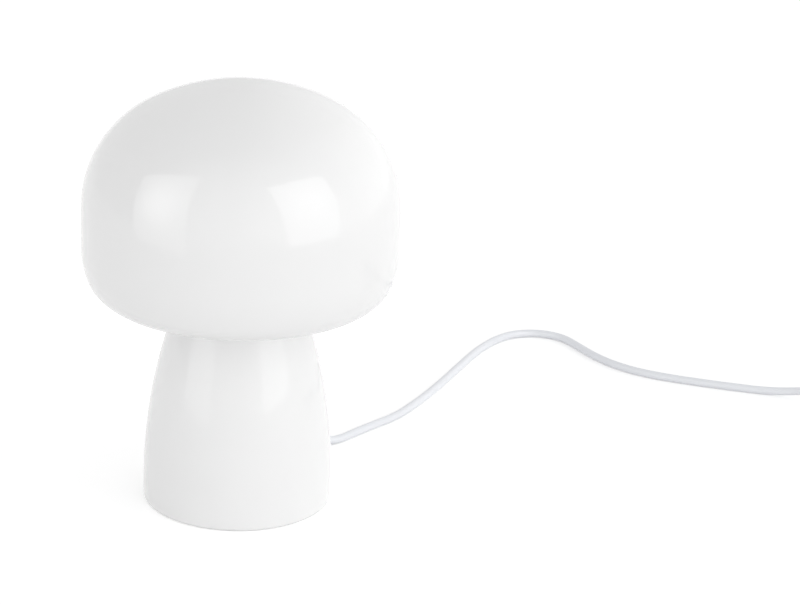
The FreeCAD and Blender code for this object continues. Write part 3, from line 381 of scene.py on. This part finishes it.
def ribbed(name, start, direction, thick, thin, length):
    """The rings moulded round a bend relief, from its thick end on."""
    piece = bpy.data.objects.new(name, bpy.data.meshes.new(name))
    inputs = {
        "Rings": RIBS, "Spacing": length / (RIBS - 1), "First radius": thick - RIB_SINK,
        "Last radius": thin, "Bead radius": RIB_BEAD, "Finish": relief_pvc,
    }
    worked(piece, ring_tree, inputs)
    turn = Vector(direction).to_track_quat("Z", "X").to_matrix().to_4x4()
    piece.data.transform(Matrix.Translation(start) @ turn)
    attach(piece, "base")
    return piece


ribbed(
    "relief_ribs", (0.0, RELIEF_END - RELIEF_RUN + RIB_MARGIN, EXIT_LEVEL), (0, 1, 0),
    RELIEF_THICK, RELIEF_THIN, RELIEF_RUN - 2.0 * RIB_MARGIN,
)
boot_ribs = [
    ribbed(
        name, (x, LANE_Y, SWITCH_AXIS), (side, 0, 0),
        BOOT_THICK, BOOT_THIN, BOOT_RUN - SWITCH_MARGIN - RIB_MARGIN,
    )
    for name, x, side in (
        ("boot_ribs_west", entry + BOOT_RUN - SWITCH_MARGIN, -1),
        ("boot_ribs_east", leave - BOOT_RUN + SWITCH_MARGIN, 1),
    )
]
plug_ribs = ribbed(
    "plug_ribs", (PLUG_BACK - BOOT_RUN + RIB_MARGIN, plug_lane, PLUG_LEVEL), (1, 0, 0),
    BOOT_THICK, BOOT_THIN, BOOT_RUN - 2.0 * RIB_MARGIN,
)

# ------------------------------------------------------------------ cord switch, tie and plug
# The switch is a two-part gloss moulding with a rocker, the plug a flat two-pin moulding on the lead, and
# the tie a flat plastic band round the turns.

switch_gloss = finish("switch_gloss", (0.78, 0.78, 0.79), 0.25, shift=0.01, patch=60.0)
plug_satin = finish("plug_satin", (0.76, 0.765, 0.78), 0.4, shift=0.01, patch=60.0, grain=0.25)
sleeve_grey = finish("sleeve_grey", (0.70, 0.70, 0.71), 0.45, patch=100.0, grain=0.2)
tie_plastic = finish("tie_plastic", (0.72, 0.72, 0.72), 0.45, patch=90.0, grain=0.3)
dress(switch_gloss, "switch_lower_shell", "switch_upper_shell", "switch_rocker")
dress(zinc, "switch_screws")
dress(plug_satin, "plug_body")
dress(sleeve_grey, "pin_sleeves")
dress(tie_plastic, "coil_tie")

# ------------------------------------------------------------------ glass
# Stem and cap are one opal glass, blown into a turned mould and fire-polished. Its ground foot stands on
# the table round the pan, with a slot at the back that is open downwards for the lead.

CAP_RADIUS, CROWN_ARC, SHOULDER_ARC = 0.100, 0.1323, 0.0723
SHOULDER_LEVEL, SIDE_HEIGHT = 0.1952, 0.0248
LOWER_ARC, LOWER_TURN, RIM_ARC = 0.0586, 19.4, 0.020
NECK_FILLET, STEM_ARC = 0.010, 0.344
FOOT_RADIUS, FOOT_STRAIGHT, FOOT_CORNER, INNER_CORNER = 0.0602, 0.014, 0.0022, 0.0008
GLASS_WALL = 0.0035
CROWN_STEPS, SHOULDER_STEPS, LOWER_STEPS, RIM_STEPS = 20, 30, 10, 14
UNDERSIDE_STEPS, FILLET_STEPS, STEM_STEPS = 5, 10, 26
FOOT_STEPS, INNER_STEPS = 6, 4
STEPS_ROUND = 240
WELD, ROW_GUARD = 1e-6, 0.5
SLOT_HALF, SLOT_TOP, SLOT_FLARE = 0.0062, 0.014, 0.0006
SLOT_BELOW, SLOT_REACH, SLOT_STEPS = 0.02, 3.0 * GLASS_WALL, 24
SHARP_EDGE = 25.0
GLASS_MILKINESS, GLASS_SCATTER, GLASS_TINTS = 0.15, 0.002, (1.0, 1.0, 1.0)


def bend(middle, radius, start, end, count):
    """Points of a profile along an arc about middle, between two angles in degrees."""
    angles = [math.radians(start + (end - start) * k / count) for k in range(count + 1)]
    return [(middle[0] + radius * math.cos(a), middle[1] + radius * math.sin(a)) for a in angles]


def glass_profile(inset):
    """One face of the wall from the crown down to the foot."""
    join = math.acos((CAP_RADIUS - SHOULDER_ARC) / (CROWN_ARC - SHOULDER_ARC))
    shoulder = (CAP_RADIUS - SHOULDER_ARC, SHOULDER_LEVEL)
    crown = (0.0, SHOULDER_LEVEL - (CROWN_ARC - SHOULDER_ARC) * math.sin(join))
    lower = (CAP_RADIUS - LOWER_ARC, SHOULDER_LEVEL - SIDE_HEIGHT)
    tuck = math.radians(LOWER_TURN)
    rim = (
        lower[0] + (LOWER_ARC - RIM_ARC) * math.cos(tuck),
        lower[1] - (LOWER_ARC - RIM_ARC) * math.sin(tuck),
    )
    stem = (FOOT_RADIUS - STEM_ARC, FOOT_STRAIGHT)
    neck_level = rim[1] - RIM_ARC - NECK_FILLET
    rise = neck_level - FOOT_STRAIGHT
    neck = (stem[0] + math.sqrt((STEM_ARC + NECK_FILLET) ** 2 - rise**2), neck_level)
    lean = math.degrees(math.asin(rise / (STEM_ARC + NECK_FILLET)))
    slope = math.degrees(join)
    points = bend(crown, CROWN_ARC - inset, 90.0, slope, CROWN_STEPS)
    points += bend(shoulder, SHOULDER_ARC - inset, slope, 0.0, SHOULDER_STEPS)[1:]
    points += bend(lower, LOWER_ARC - inset, 0.0, -LOWER_TURN, LOWER_STEPS)
    points += bend(rim, RIM_ARC - inset, -LOWER_TURN, -90.0, RIM_STEPS)[1:]
    underside = points[-1][1]
    for k in range(1, UNDERSIDE_STEPS):
        points.append((rim[0] + (neck[0] - rim[0]) * k / UNDERSIDE_STEPS, underside))
    points += bend(neck, NECK_FILLET + inset, 90.0, 180.0 + lean, FILLET_STEPS)
    points += bend(stem, STEM_ARC - inset, lean, 0.0, STEM_STEPS)[1:]
    return points


def turning_tree():
    """A lathe: turns the outline's points about Z, and closes the seam and the poles."""
    inputs = {"Outline": "Geometry", "Steps round": "Int", "Finish": "Material"}
    tree, given, result = node_group("turned_about_z", inputs, "Turned")
    outline = given["Outline"]
    count = node(tree, "GeometryNodeAttributeDomainSize", ("Geometry", outline), component="MESH")
    across = maths(tree, "ADD", given["Steps round"], 1.0)
    grid = node(
        tree, "GeometryNodeMeshGrid", ("Vertices X", count.outputs["Point Count"]), ("Vertices Y", across)
    ).outputs["Mesh"]
    index = node(tree, "GeometryNodeInputIndex").outputs[0]
    row = maths(tree, "FLOOR", maths(tree, "DIVIDE", maths(tree, "ADD", index, ROW_GUARD), across))
    step = maths(tree, "SUBTRACT", index, maths(tree, "MULTIPLY", row, across))
    share = maths(tree, "DIVIDE", step, given["Steps round"])
    angle = maths(tree, "MULTIPLY", share, 2.0 * math.pi)
    here = node(tree, "GeometryNodeInputPosition").outputs[0]
    spot = node(
        tree, "GeometryNodeSampleIndex",
        ("Geometry", outline), ("Value", here), ("Index", row), data_type="FLOAT_VECTOR",
    ).outputs[0]
    swung = node(
        tree, "ShaderNodeVectorRotate", ("Vector", spot), ("Angle", angle), rotation_type="Z_AXIS"
    ).outputs[0]
    placed = node(tree, "GeometryNodeSetPosition", ("Geometry", grid), ("Position", swung)).outputs[0]
    closed = node(tree, "GeometryNodeMergeByDistance", ("Geometry", placed), ("Distance", WELD)).outputs[0]
    tree.links.new(coated(tree, closed, given["Finish"]), result["Turned"])
    return tree


def turned(name, outline, material, steps):
    """A piece turned from (radius, height) points."""
    mesh = bpy.data.meshes.new(name)
    spots = [(radius, 0.0, height) for radius, height in outline]
    mesh.from_pydata(spots, [(k, k + 1) for k in range(len(spots) - 1)], [])
    piece = bpy.data.objects.new(name, mesh)
    return worked(piece, turning_tree(), {"Steps round": steps, "Finish": material})


def slot_cutter():
    """The grinder's path through the foot: a slot with a round top, a little wider at both faces."""
    near, far = FOOT_RADIUS - GLASS_WALL, FOOT_RADIUS
    stations = [
        (near - SLOT_REACH, SLOT_FLARE + SLOT_REACH),
        (near + SLOT_FLARE, 0.0),
        (far - SLOT_FLARE, 0.0),
        (far + SLOT_REACH, SLOT_FLARE + SLOT_REACH),
    ]
    mesh = bmesh.new()
    rings = []
    for y, flare in stations:
        width = SLOT_HALF + flare
        ring = [(-width, -SLOT_BELOW), (width, -SLOT_BELOW)]
        ring += bend((0.0, SLOT_TOP - SLOT_HALF), width, 0.0, 180.0, SLOT_STEPS)
        rings.append([mesh.verts.new((x, y, z)) for x, z in ring])
    for ring, after in zip(rings, rings[1:]):
        for k, corner in enumerate(ring):
            mesh.faces.new((corner, ring[k - 1], after[k - 1], after[k]))
    mesh.faces.new(rings[0])
    mesh.faces.new(rings[-1])
    bmesh.ops.recalc_face_normals(mesh, faces=mesh.faces)
    shape = bpy.data.meshes.new("slot_cutter")
    mesh.to_mesh(shape)
    mesh.free()
    return bpy.data.objects.new("slot_cutter", shape)


opal = finish(
    "opal_glass", (0.89, 0.89, 0.89), 0.03,
    shift=0.004, patch=14.0, grain=0.03, grain_size=22.0, depth=0.001,
)
opal_shader = opal.node_tree.nodes["Principled BSDF"]
opal_shader.inputs["Subsurface Weight"].default_value = GLASS_MILKINESS
opal_shader.inputs["Subsurface Radius"].default_value = GLASS_TINTS
opal_shader.inputs["Subsurface Scale"].default_value = GLASS_SCATTER

outside, inside = glass_profile(0.0), glass_profile(GLASS_WALL)
foot = bend((FOOT_RADIUS - FOOT_CORNER, FOOT_CORNER), FOOT_CORNER, 0.0, -90.0, FOOT_STEPS)
foot += bend(
    (FOOT_RADIUS - GLASS_WALL + INNER_CORNER, INNER_CORNER), INNER_CORNER, -90.0, -180.0, INNER_STEPS
)
glass = turned("glass_shade", outside + foot + inside[::-1], opal, STEPS_ROUND)
cutter = slot_cutter()
bpy.context.scene.collection.objects.link(cutter)
ground = glass.modifiers.new("slot", "BOOLEAN")
ground.object = cutter
ground.operation = "DIFFERENCE"
ground.solver = "EXACT"
plain(glass)
bpy.data.objects.remove(cutter)
glass.data.set_sharp_from_angle(angle=math.radians(SHARP_EDGE))
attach(glass, "glass")
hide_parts("glass_body")

# ------------------------------------------------------------------ studio
# A white table, and a white room whose sides light the lamp all round, most from the right of the lens.
# Two soft boxes in front light nothing and show only as reflections. The table shines white to the lens
# and keeps the lamp's shadow.

TABLE_SIZE = 8.0
TABLE_WHITE = (0.88, 0.88, 0.88, 1.0)
TABLE_ROUGHNESS, TABLE_SPECULAR = 0.7, 0.1
TABLE_SHINE = 0.33
ROOM_WHITE = (1.0, 1.0, 1.0, 1.0)
ROOM_LEVEL = 0.18
ROOM_ALONG, LEAN_ALONG = 0.745, 0.14
ROOM_ACROSS, LEAN_ACROSS = 0.83, 0.32
GLOW_REACH = 0.45


def sheet(name, width, height, order):
    """A flat four-cornered mesh. The order of its corners says which way it faces."""
    x, y = width / 2.0, height / 2.0
    mesh = bpy.data.meshes.new(name)
    mesh.from_pydata([(-x, -y, 0), (x, -y, 0), (x, y, 0), (-x, y, 0)], [], [order])
    return mesh


table = bpy.data.objects.new("table", sheet("table", TABLE_SIZE, TABLE_SIZE, (0, 1, 2, 3)))
bpy.context.scene.collection.objects.link(table)
white = bpy.data.materials.new("table_white")
white.use_nodes = True
white_tree = white.node_tree
surface = white_tree.nodes["Principled BSDF"]
surface.inputs["Base Color"].default_value = TABLE_WHITE
surface.inputs["Roughness"].default_value = TABLE_ROUGHNESS
surface.inputs["Specular IOR Level"].default_value = TABLE_SPECULAR
path = node(white_tree, "ShaderNodeLightPath").outputs
seen = maths(white_tree, "MAXIMUM", path["Is Camera Ray"], path["Is Glossy Ray"])
seen = maths(white_tree, "MAXIMUM", seen, path["Is Transmission Ray"])
shine_level = maths(white_tree, "MULTIPLY", seen, TABLE_SHINE)
shine = node(white_tree, "ShaderNodeEmission", ("Strength", shine_level))
both = node(white_tree, "ShaderNodeAddShader", (0, surface.outputs[0]), (1, shine.outputs[0]))
white_tree.links.new(both.outputs[0], white_tree.nodes["Material Output"].inputs["Surface"])
table.data.materials.append(white)

room = bpy.data.worlds.new("room")
bpy.context.scene.world = room
room.use_nodes = True
room_tree = room.node_tree
room_light = room_tree.nodes["Background"]
room_light.inputs["Color"].default_value = ROOM_WHITE
toward = node(room_tree, "ShaderNodeTexCoord").outputs["Generated"]


def room_side(direction, amount, both_ways):
    """The share of the room's light that comes from one side, or from both sides alike."""
    share = node(
        room_tree, "ShaderNodeVectorMath", (0, toward), (1, direction), operation="DOT_PRODUCT"
    ).outputs["Value"]
    if both_ways:
        share = maths(room_tree, "ABSOLUTE", share)
    return maths(room_tree, "MULTIPLY", share, amount)


lens_turn = math.radians(STATION_TURN)
across = (math.cos(lens_turn), math.sin(lens_turn), 0.0)
along = (math.sin(lens_turn), -math.cos(lens_turn), 0.0)
strength = ROOM_LEVEL
for side, amount, both_ways in (
    (across, ROOM_ACROSS, True), (along, ROOM_ALONG, True), (along, LEAN_ALONG, False),
    (across, LEAN_ACROSS, False),
):
    strength = maths(room_tree, "ADD", strength, room_side(side, amount, both_ways))
room_tree.links.new(strength, room_light.inputs["Strength"])


def soft_box(name, middle, facing, width, height, level, glow, glow_at):
    """A diffuser panel with a lamp behind it. Facing is its turn, tilt and roll from the lens's bearing."""
    panel = bpy.data.objects.new(name, sheet(name, width, height, (3, 2, 1, 0)))
    bpy.context.scene.collection.objects.link(panel)
    turn, tilt, roll = [math.radians(angle) for angle in facing]
    panel.matrix_world = (
        Matrix.Rotation(math.radians(STATION_TURN), 4, "Z")
        @ Matrix.Translation(middle)
        @ Matrix.Rotation(turn, 4, "Z")
        @ Matrix.Rotation(math.radians(90.0) - tilt, 4, "X")
        @ Matrix.Rotation(roll, 4, "Z")
    )
    panel.visible_camera = False
    panel.visible_diffuse = False
    panel.visible_shadow = False
    lit = bpy.data.materials.new(name)
    lit.use_nodes = True
    tree = lit.node_tree
    tree.nodes.remove(tree.nodes["Principled BSDF"])
    where = node(tree, "ShaderNodeTexCoord").outputs["Object"]
    away = node(
        tree, "ShaderNodeVectorMath", (0, where), (1, (*glow_at, 0.0)), operation="DISTANCE"
    ).outputs["Value"]
    fall = node(
        tree, "ShaderNodeMapRange",
        ("Value", away), ("From Max", GLOW_REACH * height), ("To Min", level + glow), ("To Max", level),
        interpolation_type="SMOOTHSTEP",
    ).outputs[0]
    behind = node(tree, "ShaderNodeNewGeometry").outputs["Backfacing"]
    strength = maths(tree, "MULTIPLY", fall, maths(tree, "SUBTRACT", 1.0, behind))
    light = node(tree, "ShaderNodeEmission", ("Strength", strength))
    tree.links.new(light.outputs[0], tree.nodes["Material Output"].inputs["Surface"])
    panel.data.materials.append(lit)


soft_box(
    "soft_box_left", middle=(-0.690, -0.322, 0.386), facing=(-25.6, 21.0, 0.0),
    width=0.72, height=0.89, level=1.80, glow=1.90, glow_at=(0.067, 0.096),
)
soft_box(
    "soft_box_right", middle=(1.346, -0.927, 0.738), facing=(34.2, 20.8, 4.8),
    width=1.405, height=1.996, level=2.40, glow=0.80, glow_at=(-0.037, 0.306),
)

bpy.context.scene.view_settings.view_transform = "Standard"
